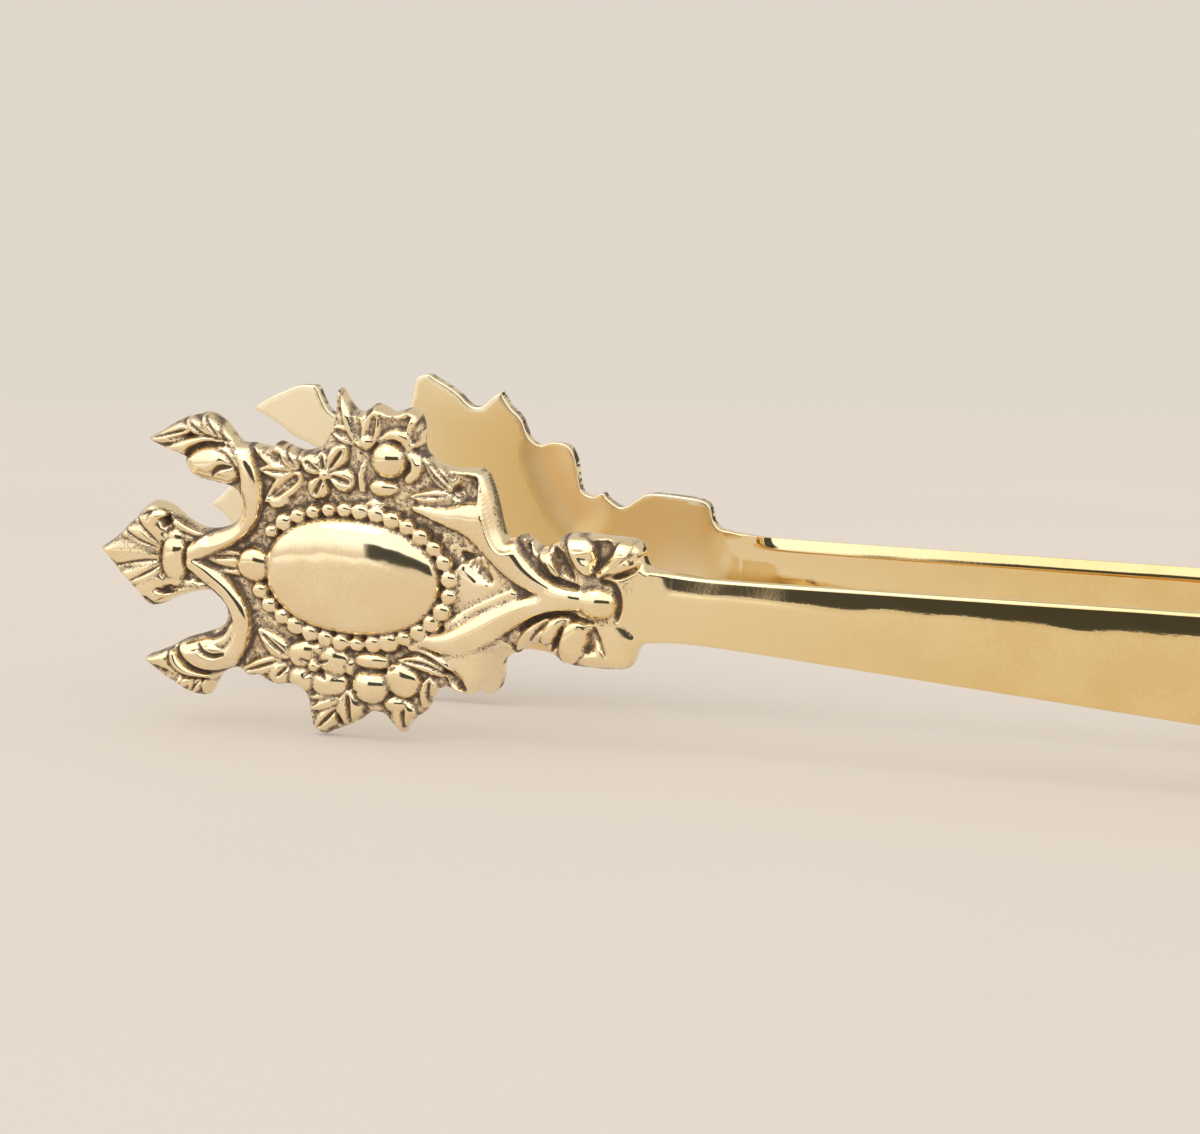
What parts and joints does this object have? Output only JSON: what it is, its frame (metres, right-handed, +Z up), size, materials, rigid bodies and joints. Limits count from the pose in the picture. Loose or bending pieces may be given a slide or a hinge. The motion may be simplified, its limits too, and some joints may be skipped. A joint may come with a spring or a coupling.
{
  "type": "serving tongs",
  "caption": "Spring serving tongs: relief-cast ornamental claw heads on widening hollow-formed arms, joined by a riveted U-shaped spring bow.",
  "frame": {"origin": "bottom centre of the bounding box, on the surface that the tongs lie on, on edge", "axes": "+X along the tongs from the claw tips to the bow, +Y from the front side to the back side, +Z up from the surface"},
  "size_m": [0.2386, 0.0378, 0.0429],
  "materials": {
    "cast_brass": "sand-cast relief, polished on the high points, dark brown patina in the recesses",
    "formed_brass": "polished, faintly planished",
    "spring_brass": "polished spring-hard strip",
    "rivet_brass": "polished domed heads"
  },
  "bodies": {
    "bow": {"spring_bow": "spring_brass"},
    "front_side": {"front_head": "cast_brass", "front_arm": "formed_brass", "front_rear_rivet": "rivet_brass", "front_fore_rivet": "rivet_brass"},
    "back_side": {"back_head": "cast_brass", "back_arm": "formed_brass", "back_rear_rivet": "rivet_brass", "back_fore_rivet": "rivet_brass"}
  },
  "joints": [
    {"name": "front_squeeze", "type": "hinge", "parent": "bow", "child": "front_side", "pos_m": [0.11555, -0.0058, 0.00952], "axis": [-0.056, 0.0763, -0.9955], "range_deg": [-3, 3.2], "stiffness_Nm_per_rad": 8, "deforming": ["spring_bow"]},
    {"name": "back_squeeze", "type": "hinge", "parent": "bow", "child": "back_side", "pos_m": [0.11558, 0.0066, 0.01047], "axis": [0.056, -0.0763, 0.9955], "range_deg": [-3, 3.2], "stiffness_Nm_per_rad": 8, "deforming": ["spring_bow"]}
  ],
  "couplings": [
    {"joint": "back_squeeze", "follows": "front_squeeze", "ratio": 1}
  ]
}
